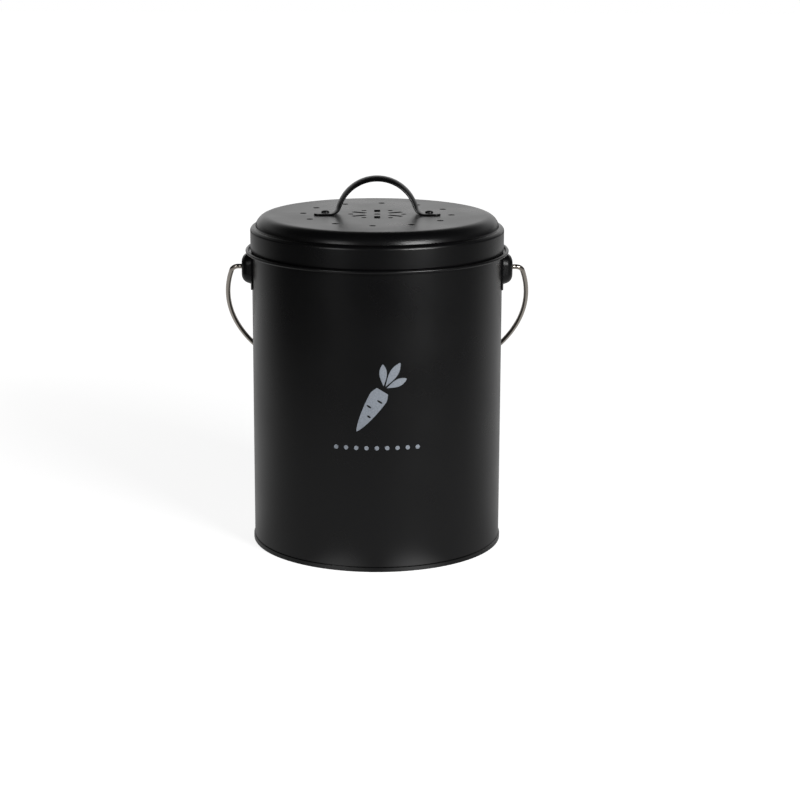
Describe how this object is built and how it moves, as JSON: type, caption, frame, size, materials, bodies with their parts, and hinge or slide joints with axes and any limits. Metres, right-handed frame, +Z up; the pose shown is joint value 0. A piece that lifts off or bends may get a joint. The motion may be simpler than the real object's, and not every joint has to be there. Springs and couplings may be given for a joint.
{
  "type": "compost bucket",
  "caption": "Round kitchen compost bucket of painted steel with a wire bail, a lift-out plastic liner and a vented lid that has a strap handle and a filter tray.",
  "frame": {"origin": "middle of the base, on the surface that the bucket stands on", "axes": "+Z up along the bucket's axis, -Y to the front, the bail's axis along X"},
  "size_m": [0.2154, 0.1838, 0.2599],
  "materials": {
    "painted_steel": "satin black powder coat",
    "steel_wire": "drawn bright steel wire",
    "zinc_steel": "zinc plated steel",
    "liner_plastic": "moulded dark grey polypropylene",
    "filter_plastic": "moulded black polypropylene",
    "charcoal_felt": "felt filled with activated charcoal"
  },
  "bodies": {
    "bucket": {"bucket_wall": "painted_steel", "base_pan": "painted_steel", "right_ear": "painted_steel", "left_ear": "painted_steel"},
    "bail": {"bail_wire": "steel_wire"},
    "liner": {"liner_bucket": "liner_plastic"},
    "lid": {"lid_shell": "painted_steel", "lid_handle": "painted_steel", "handle_rivets": "painted_steel", "rivet_washers": "zinc_steel", "filter_collar": "filter_plastic"},
    "filter": {"filter_tray": "filter_plastic", "charcoal_filter": "charcoal_felt"}
  },
  "joints": [
    {"name": "bail_swing", "type": "hinge", "parent": "bucket", "child": "bail", "pos_m": [0, 0, 0.196], "axis": [1, 0, 0], "range_deg": [0, 279.5]},
    {"name": "liner_lift", "type": "slide", "parent": "bucket", "child": "liner", "axis": [0, 0, 1], "range_m": [0, 0.25]},
    {"name": "lid_lift", "type": "slide", "parent": "liner", "child": "lid", "axis": [0, 0, 1], "range_m": [0, 0.15]},
    {"name": "filter_pull", "type": "slide", "parent": "lid", "child": "filter", "axis": [0, 0, -1], "range_m": [0, 0.03]}
  ]
}
